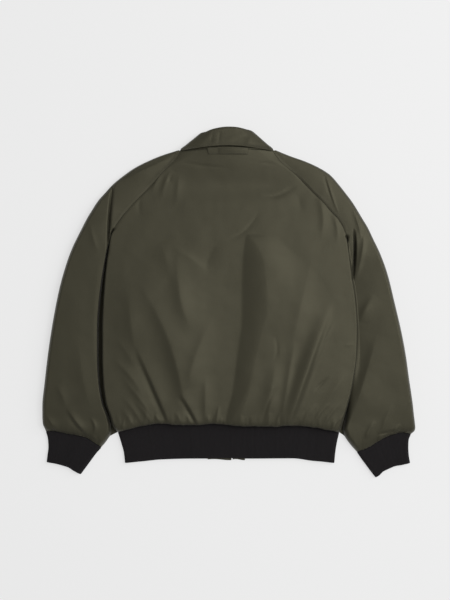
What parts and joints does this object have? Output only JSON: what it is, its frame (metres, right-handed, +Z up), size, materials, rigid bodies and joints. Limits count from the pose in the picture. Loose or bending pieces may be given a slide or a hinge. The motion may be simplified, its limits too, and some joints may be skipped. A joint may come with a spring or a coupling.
{
  "type": "bomber jacket",
  "caption": "Raglan-sleeved bomber jacket laid flat with its back up: blouson body gathered into a ribbed hem band, ribbed cuffs, folded collar and a zipped front underneath.",
  "frame": {"origin": "middle of the bounding box, at the surface the jacket lies on", "axes": "+X across the jacket to its right sleeve as seen from above, +Y from the hem to the collar, +Z up through the layers, from the fronts to the back"},
  "size_m": [0.822, 0.7708, 0.0355],
  "materials": {
    "olive_shell": "smooth dark olive twill with a soft sheen",
    "black_rib": "matt black rib knit",
    "zip": "woven zip tape with a moulded chain"
  },
  "bodies": {
    "root": {"back_panel": "olive_shell", "front_left": "olive_shell", "front_right": "olive_shell", "sleeve_left_back": "olive_shell", "sleeve_left_front": "olive_shell", "sleeve_right_back": "olive_shell", "sleeve_right_front": "olive_shell", "collar": "olive_shell", "hanger_loop": "olive_shell", "hem_end_left": "olive_shell", "hem_end_right": "olive_shell", "cuff_left": "black_rib", "cuff_right": "black_rib", "hem_rib": "black_rib", "zip": "zip"}
  },
  "joints": []
}
